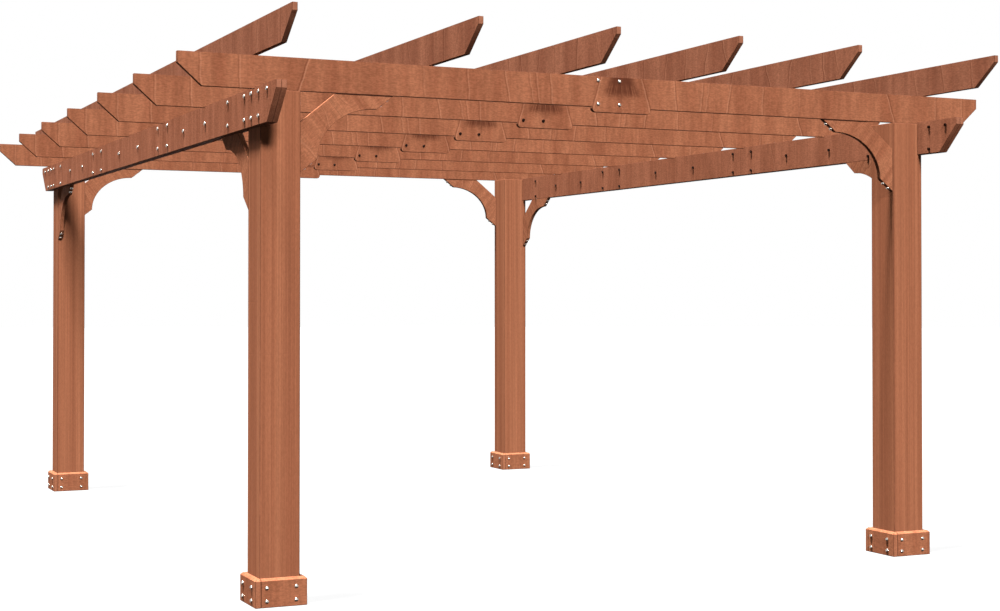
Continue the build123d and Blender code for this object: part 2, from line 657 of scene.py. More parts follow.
@dataclass(frozen=True)
class CrossLine:
    """A figure line of the rafters.

    Attributes:
        top: Its distance from the middle joint at the upper edge.
        foot: Its distance from the middle joint at the lower edge.
        share: Its strength.
    """

    top: float
    foot: float
    share: float


@dataclass(frozen=True)
class RafterFinish(TimberFinish):
    """Rafter timber: every half has the same figure, and a dark flame fans down at the middle joint.

    Attributes:
        own_line: The figure line that the other side's halves lack.
        flame: Colour of the flame.
        half_length: Length of a rafter half.
        height: Height of a rafter half, with its heel.
        body: Height of a rafter half outside its heel.
        waver: How far the figure lines waver.
        joint: Distances from the middle joint between which dark edges fade in.
        crossings: The other figure lines.
    """

    own_line: CrossLine = CrossLine(0.388, 0.379, 0.7)
    dark: Colour = stain(161, 97, 69)
    light: Colour = stain(183, 116, 84)
    flame: Colour = stain(98, 52, 36)
    line_share: float = 0.6
    half_length: float = 2.161
    height: float = 0.171
    body: float = 0.146
    waver: float = 0.02
    joint: tuple[float, float] = (0.004, 0.008)
    crossings: tuple[CrossLine, ...] = (
        CrossLine(0.118, 0.160, 0.9),
        CrossLine(0.463, 0.445, 0.6),
        CrossLine(0.500, 0.474, 0.5),
        CrossLine(0.625, 0.600, 0.8),
        CrossLine(0.813, 0.808, 0.6),
        CrossLine(1.038, 1.025, 0.3),
        CrossLine(1.576, 1.626, 1.0),
        CrossLine(1.892, 1.892, 0.7),
        CrossLine(2.069, 2.064, 0.6),
    )

    def spot(self, graph: Graph, grain: Socket) -> tuple[Socket, Socket]:
        """Find a place on the rafter.

        Args:
            graph: The material's graph.
            grain: Place from the middle of the board.

        Returns:
            Distance from the middle joint, and depth below the upper edge.
        """
        parts = graph.split(grain)
        distance = graph.math_of("ADD", parts["X"], self.half_length / 2)
        return distance, graph.math_of("SUBTRACT", self.height / 2, parts["Y"])

    def figure(self, graph: Graph, grain: Socket, seed: Socket) -> dict[str, Socket]:
        """Place the rafters' own lines; see TimberFinish.figure."""
        distance, depth = self.spot(graph, grain)
        wave = graph.noise(graph.joined(distance, graph.times(depth, 3.0)), 0.0, 5.0, 2.0, 0.5)
        bent = graph.math_of("MULTIPLY_ADD", graph.math_of("SUBTRACT", wave, 0.5), self.waver, distance)
        masks = {"Dark": 0.0, "Light": 0.0}
        for line in (self.own_line, *self.crossings):
            pair = LeaningLine.place(graph, Distance=bent, Depth=depth, Top=line.top,
                                     Lean=(line.foot - line.top) / self.body, Width=self.line_width)
            for name, mask in masks.items():
                masks[name] = graph.math_of("MAXIMUM", mask, graph.times(pair[name], line.share))
        return masks

    def edged(self, graph: Graph, grain: Socket, edge: Socket) -> Socket:
        """Keep the middle joint free of dark edges; see TimberFinish.edged."""
        distance, _ = self.spot(graph, grain)
        return graph.times(edge, graph.ranged(distance, *self.joint))

    def marked(self, graph: Graph, grain: Socket, colour: Socket) -> Socket:
        """Lay the flame over the colour; see TimberFinish.marked."""
        distance, depth = self.spot(graph, grain)
        flame = JointFlame.place(graph, Distance=distance, Depth=depth)["Flame"]
        return graph.blend("MIX", flame, colour, self.flame)


@dataclass(frozen=True)
class PostFinish(TimberFinish):
    """Post timber, darker along its corners.

    Attributes:
        half_width: Half the width of a post.
        corner: Width of the dark strip beside a corner.
        corner_share: Strength of the strip.
    """

    half_width: float = 0.0915
    corner: float = 0.009
    corner_share: float = 0.45

    def edged(self, graph: Graph, grain: Socket, edge: Socket) -> Socket:
        """Widen the dark edges into soft strips; see TimberFinish.edged."""
        parts = graph.split(graph.vector_of("ABSOLUTE", grain))
        nearest = graph.math_of("MINIMUM", parts["Y"], parts["Z"])
        strip = graph.ranged(nearest, self.half_width - self.corner, self.half_width, 0.0, self.corner_share)
        return graph.math_of("MAXIMUM", edge, strip)


@dataclass(frozen=True)
class BraceFinish(TimberFinish):
    """Brace timber, with a painted shadow of the rafter along the joint where a brace stands back under it, since
    the rafters cast no shadows.

    Attributes:
        joint: Colour of the painted shadow below the joint.
        shadow_top: Height of the joint above the ground, where the painted shadow starts.
        shadow_depth: Depth of the painted shadow below it.
    """

    # painted shadow: colour of the strip below the rafter
    joint: Colour = stain(40, 22, 15)
    shadow_top: float = 2.25
    shadow_depth: float = 0.007

    def marked(self, graph: Graph, grain: Socket, colour: Socket) -> Socket:
        """Paint the rafter's shadow in a strip below the joint; see TimberFinish.marked."""
        height = graph.split(graph.add("TexCoord").outputs["Object"])["Z"]
        start = self.shadow_top - self.shadow_depth
        # painted shadow of the rafter on the top of the brace
        strip = graph.ranged(height, start, start + self.shadow_depth / 2)
        return graph.blend("MIX", strip, colour, self.joint)


@dataclass(frozen=True)
class MetalFinish(Finish):
    """Metal of the bolts, with faint spangle.

    Attributes:
        name: Name of the material.
        pale: Lighter colour of the spangle.
        dull: Darker colour of the spangle.
        roughness: Roughness of the metal.
        unevenness: How much rougher and smoother its spangles are.
    """

    name: str
    pale: Colour
    dull: Colour
    roughness: float
    unevenness: float = 0.15

    def wire(self, graph: Graph) -> Socket:
        """Wire the metal; see Finish.wire."""
        spangle = Spangle.place(graph, Place=graph.add("TexCoord").outputs["Object"])["Spangle"]
        colour = graph.blend("MIX", spangle, self.dull, self.pale)
        spread = self.roughness * self.unevenness
        rough = graph.ranged(spangle, 0.0, 1.0, self.roughness + spread, self.roughness - spread)
        return graph.add("BsdfPrincipled", Base_Color=colour, Roughness=rough, Metallic=1.0).outputs[0]


@dataclass(frozen=True)
class FloorFinish(Finish):
    """White floor that takes faint shadows.

    Attributes:
        name: Name of the material.
        glow: Share of the white that shadows don't reach.
    """

    name: str
    glow: float = 0.9

    def wire(self, graph: Graph) -> Socket:
        """Wire the floor; see Finish.wire."""
        matt = graph.add("BsdfDiffuse", Color=WHITE).outputs[0]
        glow = graph.add("Emission", Color=WHITE, Strength=1.0).outputs[0]
        return graph.fill(graph.add("MixShader"), (self.glow, matt, glow))


POST_FINISH = PostFinish("stained_post", stretch=(0.16, 30.0, 30.0), fibre_depth=0.1, mottle_depth=0.06,
                         line_share=0.0, edge_share=0.5)
TRIM_FINISH = TimberFinish("stained_trim", stretch=(14.0, 1.5, 14.0), line_share=0.0, end_share=0.1,
                           edge_share=0.6)
# stained brace timber, with a painted shadow of the rafters below their joint with the braces
BRACE_FINISH = BraceFinish("stained_brace_with_painted_shadow", stretch=(22.0, 1.5, 22.0), line_spacing=0.09, line_width=0.004,
                           line_share=0.3)
BEAM_FINISH = TimberFinish("stained_beam", dark=stain(158, 96, 70), light=stain(182, 115, 86),
                           stretch=(9.0, 1.2, 9.0), line_spacing=0.6, line_share=0.4)
RAFTER_FINISHES = {
    Side.LEFT: RafterFinish("stained_rafter_left"),
    Side.RIGHT: RafterFinish("stained_rafter_right", own_line=CrossLine(0.294, 0.312, 0.8)),
}
PURLIN_FINISH = TimberFinish("stained_purlin", dark=stain(152, 92, 68), light=stain(178, 114, 86),
                             stretch=(9.0, 1.4, 9.0), line_spacing=0.18, line_share=0.8, light_share=0.3)
SPLICE_FINISH = TimberFinish("stained_splice", line_share=0.0)
ZINC_FINISH = MetalFinish("bolt_zinc", stain(228, 221, 211), stain(206, 198, 188), 0.2)
# dark steel for bolt ends; its darkness also paints the shade that these ends sit in, on the beams' inner faces
# and under the roof
STEEL_AND_SHADE_FINISH = MetalFinish("bolt_steel_and_shade", stain(58, 42, 36), stain(40, 30, 26), 0.3)
FLOOR_FINISH = FloorFinish("pale_floor")


def deselect_all() -> None:
    """Leave edit mode and select nothing."""
    if bpy.context.object and bpy.context.object.mode != "OBJECT":
        bpy.ops.object.mode_set(mode="OBJECT")
    bpy.ops.object.select_all(action="DESELECT")


def pick(*objects: bpy.types.Object) -> None:
    """Select only these objects and make the first active.

    Args:
        *objects: Objects to select.
    """
    deselect_all()
    for chosen in objects:
        chosen.select_set(True)
    bpy.context.view_layer.objects.active = objects[0]


def select_edges(mesh: bpy.types.Mesh, wanted: Callable[[bmesh.types.BMEdge], bool]) -> None:
    """Select edges of a mesh that is in edit mode.

    Args:
        mesh: The mesh.
        wanted: Tells whether an edge is to be selected.
    """
    shape = bmesh.from_edit_mesh(mesh)
    for edge in shape.edges:
        edge.select = wanted(edge)
    bmesh.update_edit_mesh(mesh)


def select_faces(mesh: bpy.types.Mesh, side: Vector) -> None:
    """Select only the faces that look to one side, of a mesh that is in edit mode.

    Args:
        mesh: The mesh.
        side: Direction of that side.
    """
    bpy.ops.mesh.select_all(action="DESELECT")
    shape = bmesh.from_edit_mesh(mesh)
    for face in shape.faces:
        if face.normal.dot(side) > 0.9:
            face.select_set(True)
    bmesh.update_edit_mesh(mesh)


@dataclass
class Solid:
    """One connected piece of a mesh.

    Attributes:
        members: Indexes of its vertices.
        low: Lowest corner of its box.
        high: Highest corner of its box.
    """

    members: np.ndarray
    low: Vector
    high: Vector

    @property
    def centre(self) -> Vector:
        """Middle of the box."""
        return (self.low + self.high) / 2

    @property
    def size(self) -> Vector:
        """Sides of the box."""
        return self.high - self.low


def points_of(mesh: bpy.types.Mesh) -> np.ndarray:
    """Read a mesh's vertices.

    Args:
        mesh: Any mesh.

    Returns:
        One row of three coordinates for each vertex.
    """
    flat = np.zeros(3 * len(mesh.vertices), np.float32)
    mesh.vertices.foreach_get("co", flat)
    return flat.reshape(-1, 3)


def solids_of(mesh: bpy.types.Mesh) -> list[Solid]:
    """Find the connected pieces of a merged mesh.

    Args:
        mesh: Mesh whose doubles are merged.

    Returns:
        The pieces, from the lowest vertex index up.
    """
    label = np.arange(len(mesh.vertices))
    ends = np.zeros(2 * len(mesh.edges), np.int32)
    mesh.edges.foreach_get("vertices", ends)
    first, second = ends.reshape(-1, 2).T
    settled = False
    while not settled:
        before = label.copy()
        np.minimum.at(label, first, before[second])
        np.minimum.at(label, second, before[first])
        settled = np.array_equal(before, label)
    points = points_of(mesh)
    groups = [np.flatnonzero(label == name) for name in np.unique(label)]
    return [Solid(g, Vector(points[g].min(axis=0)), Vector(points[g].max(axis=0))) for g in groups]


@dataclass
class Board:
    """Dressed copy of one node: boards with eased edges, each with its own run of grain.

    Attributes:
        node: Name of the node that it stands for.
        finish: What it is finished with.
        slot: Material slot of the record; not used.
        easing: Width of the eased edges.
        crown: Width of the chamfer along the upper outer edges, where there is one.
        sloped: Whether the grain runs on the slope of a knee brace.
        shades: Whether it casts shadows.
    """

    node: str
    finish: TimberFinish
    slot: Slot
    easing: float = 0.0015
    crown: float = 0.0
    sloped: bool = False
    shades: bool = True

    GRAIN: ClassVar[str] = "grain"
    SEED: ClassVar[str] = "seed"
    EASED: ClassVar[str] = "eased"
    END: ClassVar[str] = "end"
    SQUARE: ClassVar[float] = math.cos(math.radians(10))
    SHARP: ClassVar[float] = math.radians(18)
    CROWN_SHARP: ClassVar[float] = math.radians(50)
    FLAT: ClassVar[float] = math.radians(0.5)
    MERGE: ClassVar[float] = 1e-5
    REACH: ClassVar[float] = 1e-4
    SEED_STEP: ClassVar[float] = 7.31
    made: ClassVar[int] = 0

    def build(self) -> bpy.types.Object:
        """Copy the node, ease its edges and dress it.

        Returns:
            The dressed piece.
        """
        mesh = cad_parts[self.node].data.copy()
        mesh.materials.clear()
        piece = bpy.data.objects.new(f"{self.node}_timber", mesh)
        bpy.context.scene.collection.objects.link(piece)
        self.ease(piece)
        self.run_grain(mesh)
        mesh.materials.append(self.finish.material())
        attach(piece, BODY)
        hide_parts(self.node)
        # In the photo's light boards throw no light on each other, and those of the roof cast no shadows
        piece.visible_diffuse = False
        piece.visible_shadow = self.shades
        LOG.info("dressed %s", piece.name)
        return piece

    def ease(self, piece: bpy.types.Object) -> None:
        """Merge the copy and bevel its outer edges.

        Args:
            piece: Copy of the node.
        """
        pick(piece)
        bpy.ops.object.mode_set(mode="EDIT")
        bpy.ops.mesh.select_all(action="SELECT")
        bpy.ops.mesh.customdata_custom_splitnormals_clear()
        bpy.context.tool_settings.mesh_select_mode = (True, False, False)
        bpy.ops.mesh.remove_doubles(threshold=self.MERGE)
        bpy.ops.mesh.dissolve_limited(angle_limit=self.FLAT)
        bpy.ops.mesh.select_all(action="DESELECT")
        bpy.context.tool_settings.mesh_select_mode = (False, False, True)
        if self.crown:
            self.chamfer(piece)
        limit = self.CROWN_SHARP if self.crown else self.SHARP
        select_edges(piece.data, lambda edge: edge.calc_face_angle_signed(0.0) > limit)
        bpy.ops.mesh.bevel(offset=self.easing, segments=2, profile=0.5, affect="EDGES", clamp_overlap=True)
        bpy.ops.object.mode_set(mode="OBJECT")
        bpy.ops.object.shade_smooth_by_angle(angle=self.SHARP)
        self.mark_edges(piece.data)

    def chamfer(self, piece: bpy.types.Object) -> None:
        """Chamfer the upper edges that lie on the outer sides of the node's box.

        Args:
            piece: Merged copy of the node, in edit mode.
        """
        low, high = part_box(self.node)
        sides = [(axis, corner[axis]) for axis in (0, 1) for corner in (low, high)]
        select_edges(piece.data, lambda edge: self.lies_at(edge, 2, high.z)
                     and any(self.lies_at(edge, axis, side) for axis, side in sides))
        bpy.ops.mesh.bevel(offset=self.crown, segments=1, affect="EDGES", clamp_overlap=True)
        bpy.ops.mesh.select_all(action="DESELECT")

    def lies_at(self, edge: bmesh.types.BMEdge, axis: int, level: float) -> bool:
        """Tell whether an edge lies on the plane that is square to an axis at a level."""
        return all(abs(vertex.co[axis] - level) < self.REACH for vertex in edge.verts)

    def mark_edges(self, mesh: bpy.types.Mesh) -> None:
        """Mark the eased edges; the bevel leaves its new faces selected."""
        eased = np.array([face.select for face in mesh.polygons], np.float32)
        mesh.attributes.new(self.EASED, "FLOAT", "FACE").data.foreach_set("value", eased)

    def run_grain(self, mesh: bpy.types.Mesh) -> None:
        """Give each board its place along, across and through the grain and its own number, and mark its ends.

        Args:
            mesh: Mesh with eased edges.
        """
        points = points_of(mesh)
        grain = np.zeros_like(points)
        seed = np.zeros(len(points), np.float32)
        along = np.zeros_like(points)
        for solid in solids_of(mesh):
            axes = np.array(self.axes_of(solid))
            grain[solid.members] = (points[solid.members] - np.array(solid.centre)) @ axes.T
            along[solid.members] = axes[0]
            Board.made += 1
            seed[solid.members] = Board.made * self.SEED_STEP
        ends = [abs(face.normal.dot(along[face.vertices[0]])) > self.SQUARE for face in mesh.polygons]
        mesh.attributes.new(self.GRAIN, "FLOAT_VECTOR", "POINT").data.foreach_set("vector", grain.ravel())
        mesh.attributes.new(self.SEED, "FLOAT", "POINT").data.foreach_set("value", seed)
        mesh.attributes.new(self.END, "FLOAT", "FACE").data.foreach_set("value", np.array(ends, np.float32))

    def axes_of(self, solid: Solid) -> list[Vector]:
        """Find a board's directions; its length points away from the middle of the pergola.

        Args:
            solid: The board.

        Returns:
            Unit vectors along, across and through the board.
        """
        by_size = sorted((X_AXIS, Y_AXIS, Z_AXIS), key=lambda axis: -abs(axis.dot(solid.size)))
        along, across, through = (axis.copy() for axis in by_size)
        if along.dot(solid.centre) < 0:
            along.negate()
        if self.sloped:
            slope = along * abs(along.dot(solid.size)) - across * abs(across.dot(solid.size))
            along = slope.normalized()
            across = (across - along * across.dot(along)).normalized()
        return [along, across, through]


@dataclass
class Posts:
    """Four posts with softened corners.

    Attributes:
        easing: Width of the eased edges.
    """

    easing: float = 0.003

    def build(self) -> None:
        """Dress the posts."""
        for place in PLACES:
            Board(f"post_{place}", POST_FINISH, Slot.POST, self.easing).build()


@dataclass(frozen=True)
class Spot:
    """Place of a bolt end.

    Attributes:
        point: Where its axis meets the board's face.
        normal: Direction out of the face.
    """

    point: Vector
    normal: Vector


@dataclass
class BoltKit:
    """Bolt ends, modelled once and copied to each spot.

    Attributes:
        head_radius: Radius of the domed head.
        button_radius: Radius of the flatter heads of the braces' bolts.
        head_rise: Height of the dome above its rim.
        button_rise: Height of the flatter dome above its rim.
        rim: Height of the rim under the dome.
        button_rim: Height of the rim under the flatter dome.
        nut_radius: Distance from the middle of the nut to a corner.
        nut_height: Height of the nut.
        washer_radius: Radius of the washer under the nut.
        washer_height: Thickness of the washer.
        shank_radius: Radius of the bolt's end.
        shank_rise: How far the bolt's end stands out of the nut.
        tip_radius: Radius of a bolt's end that has no nut.
        tip_rise: How far it stands out of the board.
        chamfer: Width of the small chamfers.
        segments: Sides of the round parts.
        rings: Rings of the ball from which a dome is cut.
        patterns: The modelled bolt ends.
    """

    head_radius: float = 0.0096
    button_radius: float = 0.006
    head_rise: float = 0.0065
    button_rise: float = 0.0003
    rim: float = 0.0012
    button_rim: float = 0.0002
    nut_radius: float = 0.0095
    nut_height: float = 0.0065
    washer_radius: float = 0.0125
    washer_height: float = 0.0018
    shank_radius: float = 0.0048
    shank_rise: float = 0.003
    tip_radius: float = 0.0078
    tip_rise: float = 0.0085
    chamfer: float = 0.0009
    segments: int = 20
    rings: int = 12
    patterns: dict[Fixing, bpy.types.Object] = field(default_factory=dict)

    DOMED: ClassVar[float] = math.radians(40)
    TURNED: ClassVar[float] = math.radians(30)

    def model(self) -> None:
        """Model the patterns and keep them out of the scene."""
        washer = (self.segments, self.washer_radius, self.washer_height)
        nut = (6, self.nut_radius, self.nut_height)
        shank = (self.segments // 2, self.shank_radius, self.shank_rise)
        tip = (self.segments // 2, self.tip_radius, self.tip_rise)
        self.patterns = {
            Fixing.HEAD: self.model_head(self.head_radius, self.head_rise, self.rim),
            Fixing.BUTTON: self.model_head(self.button_radius, self.button_rise, self.button_rim),
            Fixing.NUT: self.model_stack(washer, nut, shank),
            Fixing.TIP: self.model_stack(tip),
        }
        for kind, pattern in self.patterns.items():
            # bolt ends without nuts take the dark steel, whose darkness is partly painted shade
            finish = STEEL_AND_SHADE_FINISH if kind is Fixing.TIP else ZINC_FINISH
            pattern.data.materials.append(finish.material())
            bpy.context.scene.collection.objects.unlink(pattern)

    def model_head(self, radius: float, rise: float, rim: float) -> bpy.types.Object:
        """Model a domed head that stands on the ground plane.

        Args:
            radius: Radius of the head.
            rise: Height of the dome above its rim.
            rim: Height of the rim.

        Returns:
            The head.
        """
        deselect_all()
        bpy.ops.mesh.primitive_uv_sphere_add(segments=self.segments, ring_count=self.rings, radius=radius)
        head = bpy.context.object
        bpy.ops.object.mode_set(mode="EDIT")
        bpy.ops.mesh.bisect(plane_co=(0, 0, 0), plane_no=(0, 0, 1), clear_inner=True, use_fill=True)
        bpy.ops.mesh.select_all(action="SELECT")
        bpy.ops.transform.resize(value=(1, 1, rise / radius))
        bpy.ops.transform.translate(value=(0, 0, rim))
        select_faces(head.data, -Z_AXIS)
        bpy.ops.mesh.extrude_region_move(TRANSFORM_OT_translate={"value": (0, 0, -rim)})
        bpy.ops.mesh.select_all(action="SELECT")
        bpy.ops.mesh.normals_make_consistent(inside=False)
        bpy.ops.object.mode_set(mode="OBJECT")
        bpy.ops.object.shade_smooth_by_angle(angle=self.DOMED)
        self.settle(head)
        return head

    def model_stack(self, *discs: tuple[int, float, float]) -> bpy.types.Object:
        """Model turned discs that stand one on the other, each with a chamfered upper edge.

        Args:
            *discs: Number of sides, radius and height of each, from the lowest up.

        Returns:
            The discs as one object.
        """
        level = 0.0
        layers = []
        for sides, radius, height in discs:
            deselect_all()
            bpy.ops.mesh.primitive_cylinder_add(vertices=sides, radius=radius, depth=height,
                                                location=(0, 0, level + height / 2))
            layer = bpy.context.object
            bpy.ops.object.mode_set(mode="EDIT")
            select_faces(layer.data, Z_AXIS)
            bpy.ops.mesh.region_to_loop()
            bpy.ops.mesh.bevel(offset=self.chamfer, segments=2, affect="EDGES")
            bpy.ops.object.mode_set(mode="OBJECT")
            self.settle(layer)
            layers.append(layer)
            level += height
        pick(*layers)
        if len(layers) > 1:
            bpy.ops.object.join()
        bpy.ops.object.shade_smooth_by_angle(angle=self.TURNED)
        return layers[0]

    @staticmethod
    def settle(piece: bpy.types.Object) -> None:
        """Put an object's place into its mesh."""
        pick(piece)
        bpy.ops.object.transform_apply(location=True, rotation=True, scale=True)

    def fasten(self, name: str, spots: dict[Fixing, list[Spot]]) -> bpy.types.Object:
        """Copy bolt ends to their spots and join them into one piece.

        Args:
            name: Name of the piece.
            spots: Where each kind of bolt end goes.

        Returns:
            The joined bolt ends.
        """
        copies = []
        for kind, places in spots.items():
            for spot in places:
                copy = bpy.data.objects.new(name, self.patterns[kind].data.copy())
                turn = Z_AXIS.rotation_difference(spot.normal).to_matrix().to_4x4()
                copy.data.transform(Matrix.Translation(spot.point) @ turn)
                bpy.context.scene.collection.objects.link(copy)
                copies.append(copy)
        pick(*copies)
        bpy.ops.object.join()
        piece = copies[0]
        piece.name = name
        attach(piece, BODY)
        LOG.info("fastened %s with %d bolt ends", name, len(copies))
        return piece


@dataclass
class Skirts:
    """Boards around the feet of the posts, each held by four bolts.

    Attributes:
        bolts: The bolt ends to use.
        bolt_spread: Distance of a bolt from the post's middle line.
        bolt_heights: Heights of the two rows of bolts.
        easing: Width of the eased edges.
        crown: Width of the chamfer along the upper outer edges.
    """

    bolts: BoltKit
    bolt_spread: float = 0.0665
    bolt_heights: tuple[float, float] = (0.028, 0.086)
    easing: float = 0.0025
    crown: float = 0.009

    def build(self) -> None:
        """Dress the skirt boards and fasten them."""
        for place in PLACES:
            low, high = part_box(f"post_{place}")
            foot = (low + high) / 2
            spots = []
            for pair in ("ends", "sides"):
                piece = Board(f"skirt_{place}_{pair}", TRIM_FINISH, Slot.TRIM, self.easing, self.crown).build()
                for solid in solids_of(piece.data):
                    spots += self.spots_on(solid, foot)
            self.bolts.fasten(f"skirt_{place}_bolts", {Fixing.HEAD: spots})

    def spots_on(self, board: Solid, foot: Vector) -> Iterator[Spot]:
        """Find where the bolts of one board go.

        Args:
            board: The skirt board.
            foot: A point on the post's middle line.

        Yields:
            The four spots.
        """
        along, through = (X_AXIS, Y_AXIS) if board.size.x > board.size.y else (Y_AXIS, X_AXIS)
        out = through * math.copysign(1.0, through.dot(board.centre - foot))
        face = foot + through * through.dot(board.centre - foot) + out * abs(through.dot(board.size)) / 2
        for height in self.bolt_heights:
            for shift in (-self.bolt_spread, self.bolt_spread):
                point = face + along * shift
                point.z = height
                yield Spot(point, out)


@dataclass
class KneeBraces:
    """Hollowed braces in the corners, each held by two bolts at either end.

    Attributes:
        bolts: The bolt ends to use.
        end_run: Length of a sloped end along the post or beam that it meets.
        end_drop: Height of a sloped end.
        bolt_shares: Places of the bolts along a sloped end, from the outer edge.
    """

    bolts: BoltKit
    end_run: float = 0.080
    end_drop: float = 0.063
    bolt_shares: tuple[float, float] = (0.28, 0.66)

    def build(self) -> None:
        """Dress the braces and fasten them."""
        for place in PLACES:
            piece = Board(f"knee_braces_{place}", BRACE_FINISH, Slot.TRIM, sloped=True).build()
            spots = {Fixing.HEAD: [], Fixing.BUTTON: []}
            for solid in solids_of(piece.data):
                for spot in self.spots_on(solid):
                    spots[self.fixing_at(spot)].append(spot)
            self.bolts.fasten(f"knee_braces_{place}_bolts", spots)

    @staticmethod
    def fixing_at(spot: Spot) -> Fixing:
        """Choose domed heads on ends that face the front or the left, and flush ones on the others."""
        return Fixing.HEAD if min(spot.normal.x, spot.normal.y) < -0.1 else Fixing.BUTTON

    def spots_on(self, brace: Solid) -> Iterator[Spot]:
        """Find where the bolts of one brace go.

        Args:
            brace: The brace.

        Yields:
            The four spots.
        """
        along = X_AXIS if brace.size.x > brace.size.y else Y_AXIS
        inward = along * -math.copysign(1.0, along.dot(brace.centre))
        reach = abs(along.dot(brace.size))
        corner = brace.centre - inward * reach / 2
        corner.z = brace.high.z
        slope = inward * self.end_run + Z_AXIS * self.end_drop
        out = (inward * self.end_drop - Z_AXIS * self.end_run).normalized()
        foot = corner - Z_AXIS * brace.size.z
        head = corner + inward * reach - slope
        for end in (foot, head):
            for share in self.bolt_shares:
                yield Spot(end + slope * share, out)


@dataclass(frozen=True)
class BeamBolts:
    """Where the bolts of one half of a beam sit, by their distances from the pergola's middle.

    Attributes:
        pairs: Distances at which bolts sit near both edges.
        upper: Distances at which one bolt sits near the upper edge.
        middles: Distances at which one bolt sits at half height.
        upper_margin: Distance of bolts from the upper edge.
        lower_margin: Distance of bolts from the lower edge.
    """

    pairs: tuple[float, ...] = (2.530, 2.420, 2.317, 2.060, 0.980, 0.738)
    upper: tuple[float, ...] = (2.653,)
    middles: tuple[float, ...] = (1.718, 1.315, 0.238)
    upper_margin: float = 0.032
    lower_margin: float = 0.022

    def rows(self, low: float, high: float) -> Iterator[tuple[float, float]]:
        """List the bolts.

        Args:
            low: Height of the beam's lower edge.
            high: Height of its upper edge.

        Yields:
            Distance from the middle and height of each bolt.
        """
        for distance in self.pairs + self.upper:
            yield distance, high - self.upper_margin
        for distance in self.pairs:
            yield distance, low + self.lower_margin
        for distance in self.middles:
            yield distance, (low + high) / 2


BACK_BOLTS = BeamBolts()
LEFT_FRONT_BOLTS = BeamBolts(pairs=(2.530, 2.420, 2.317, 2.050, 0.910, 0.708), middles=(1.655, 1.245, 0.238),
                             upper_margin=0.024, lower_margin=0.038)
RIGHT_FRONT_BOLTS = BeamBolts(pairs=(2.567, 2.420, 2.317, 2.057, 0.910, 0.708), upper=(2.696,),
                              middles=(1.700, 1.282, 0.238))
BEAM_BOLTS = {
    Side.LEFT: {End.FRONT: LEFT_FRONT_BOLTS, End.BACK: BACK_BOLTS},
    Side.RIGHT: {End.FRONT: RIGHT_FRONT_BOLTS, End.BACK: BACK_BOLTS},
}


@dataclass
class Beams:
    """Double beams on the posts' outer sides, bolted through.

    Attributes:
        bolts: The bolt ends to use.
        tip_room: Room that a bolt's end needs beside a post.
    """

    bolts: BoltKit
    tip_room: float = 0.014

    def build(self) -> None:
        """Dress the beam boards and fasten them."""
        for side in Side:
            for layer in ("outer", "inner"):
                for length in ("long", "short"):
                    Board(f"beam_{side.value}_{layer}_{length}", BEAM_FINISH, Slot.BEAM).build()
            self.bolts.fasten(f"beam_{side.value}_bolts", self.spots_on(side))

    def spots_on(self, side: Side) -> dict[Fixing, list[Spot]]:
        """Find where the bolts of one beam go: heads outside, and ends inside where no post is.

        Args:
            side: Side of the pergola.

        Returns:
            The spots of both kinds.
        """
        outer_low, outer_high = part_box(f"beam_{side.value}_outer_long")
        inner_low, inner_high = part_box(f"beam_{side.value}_inner_long")
        post_low, post_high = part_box(f"post_back_{side.value}")
        outside = max(outer_low.x, outer_high.x, key=abs)
        inside = min(inner_low.x, inner_high.x, key=abs)
        spots = {Fixing.HEAD: [], Fixing.TIP: []}
        for end, half in BEAM_BOLTS[side].items():
            for distance, height in half.rows(outer_low.z, outer_high.z):
                spots[Fixing.HEAD].append(Spot(Vector((outside, end.value * distance, height)), side.out))
                # the dark bolt ends inside also paint the shade on the beams' inner faces
                if not post_low.y - self.tip_room < distance < post_high.y + self.tip_room:
                    spots[Fixing.TIP].append(Spot(Vector((inside, end.value * distance, height)), -side.out))
        return spots


@dataclass
class Rafters:
    """Spliced rafters, bolted to their plates.

    The left half of the first rafter is bolted from the front, and all other halves from behind; the dark ends of
    those bolts on the front also paint the shade under the roof.

    Attributes:
        bolts: The bolt ends to use.
        count: Number of rafters.
        bolt_places: Distances of the bolts from the middle joint.
        bolt_depths: Distances of the bolts below the upper edge.
    """

    bolts: BoltKit
    count: int = 7
    bolt_places: tuple[float, float] = (0.014, 0.130)
    bolt_depths: tuple[float, float] = (0.020, 0.132)

    def build(self) -> None:
        """Dress the rafters and their splices and fasten them."""
        for row in range(1, self.count + 1):
            for side in Side:
                Board(f"rafter_{row}_{side.value}", RAFTER_FINISHES[side], Slot.ROOF, shades=False).build()
        plates = Board("rafter_splices", SPLICE_FINISH, Slot.ROOF, shades=False).build()
        spots = {kind: [] for kind in Fixing}
        for row, plate in enumerate(sorted(solids_of(plates.data), key=lambda solid: solid.low.y)):
            # rafters behind the first show dark bolt ends on the front, which also paint the shade under the roof
            fronts = (Fixing.TIP, Fixing.HEAD) if row else (Fixing.HEAD, Fixing.NUT)
            for place in self.bolt_places:
                for depth in self.bolt_depths:
                    height = plate.high.z - depth
                    front = Vector((-place, plate.low.y - plate.size.y, height))
                    spots[fronts[0]].append(Spot(front, -Y_AXIS))
                    spots[fronts[1]].append(Spot(Vector((-place, plate.high.y, height)), Y_AXIS))
                    spots[Fixing.HEAD].append(Spot(Vector((place, plate.high.y, height)), Y_AXIS))
        self.bolts.fasten("rafter_splice_bolts", spots)


@dataclass
class Purlins:
    """Purlins on top of the rafters.

    Attributes:
        count: Number of purlins.
    """

    count: int = 6

    def build(self) -> None:
        """Dress the purlins."""
        for row in range(1, self.count + 1):
            Board(f"purlin_{row}", PURLIN_FINISH, Slot.ROOF, shades=False).build()


